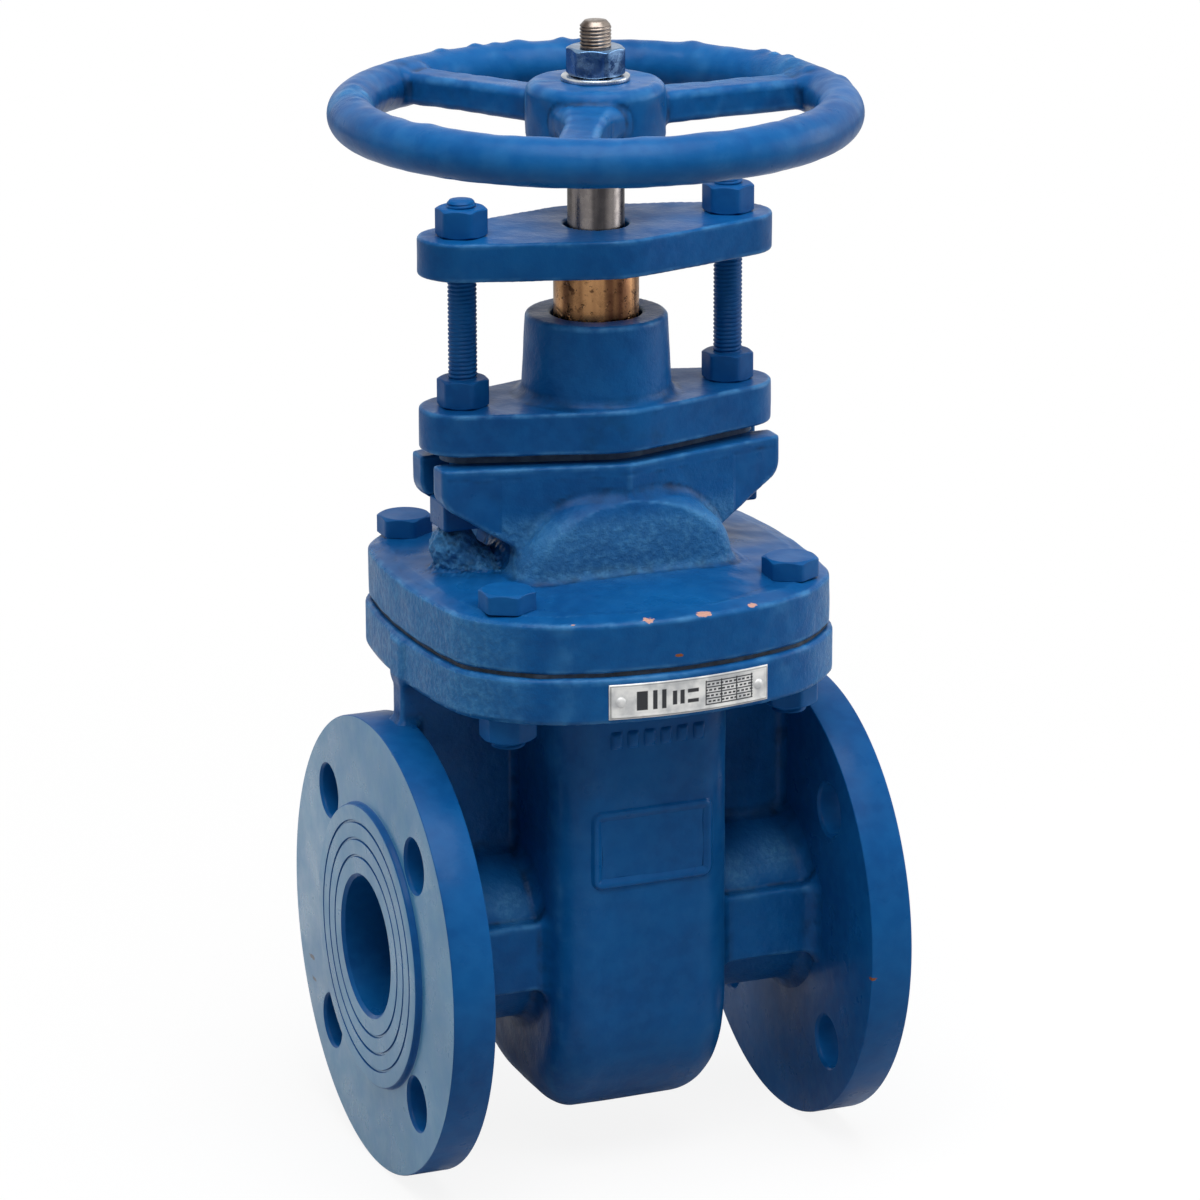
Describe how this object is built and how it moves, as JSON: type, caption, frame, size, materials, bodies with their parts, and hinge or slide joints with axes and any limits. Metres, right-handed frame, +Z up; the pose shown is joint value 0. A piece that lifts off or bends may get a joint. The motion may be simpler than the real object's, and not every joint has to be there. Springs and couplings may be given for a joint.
{
  "type": "flanged gate valve",
  "caption": "Flat-body gate valve with round pipe flanges, an oval bolted bonnet, a gland on two studs and a spoked handwheel on a stem that does not rise.",
  "frame": {"origin": "centre of the inlet flange's raised face, on the pipe axis", "axes": "+X along the pipe from inlet to outlet, +Z up the stem to the handwheel, -Y to the front with the rating plate"},
  "size_m": [0.186, 0.186, 0.4091],
  "materials": {
    "blue_enamel": "satin blue enamel on cast iron",
    "grey_iron": "machined and cast",
    "bronze": "turned",
    "gasket": "matt sheet",
    "stem_steel": "turned",
    "zinc_plate": "zinc plated",
    "plate": "brushed"
  },
  "bodies": {
    "valve": {"valve_body": "blue_enamel", "seat_ring_inlet": "bronze", "seat_ring_outlet": "bronze", "gate_wedge": "grey_iron", "gate_nut": "bronze", "joint_gasket": "gasket", "bonnet": "blue_enamel", "bonnet_bolt_front_left": "blue_enamel", "bonnet_bolt_front_right": "blue_enamel", "bonnet_bolt_back_left": "blue_enamel", "bonnet_bolt_back_right": "blue_enamel", "bonnet_nut_front_left": "blue_enamel", "bonnet_nut_front_right": "blue_enamel", "bonnet_nut_back_left": "blue_enamel", "bonnet_nut_back_right": "blue_enamel", "stuffing_box_gasket": "gasket", "stuffing_box": "blue_enamel", "stem_packing": "gasket", "gland_bush": "bronze", "gland_plate": "blue_enamel", "gland_stud_left": "blue_enamel", "gland_stud_right": "blue_enamel", "stuffing_box_nut_left": "blue_enamel", "stuffing_box_nut_right": "blue_enamel", "gland_nut_left": "blue_enamel", "gland_nut_right": "blue_enamel", "rating_plate": "plate", "plate_rivets": "plate"},
    "stem_and_wheel": {"stem": "stem_steel", "handwheel": "blue_enamel", "handwheel_washer": "zinc_plate", "handwheel_nut": "zinc_plate"}
  },
  "joints": [
    {"name": "stem_turn", "type": "hinge", "parent": "valve", "child": "stem_and_wheel", "pos_m": [0.089, 0, 0.25], "axis": [0, 0, 1], "range_deg": [-5310, 0]}
  ]
}
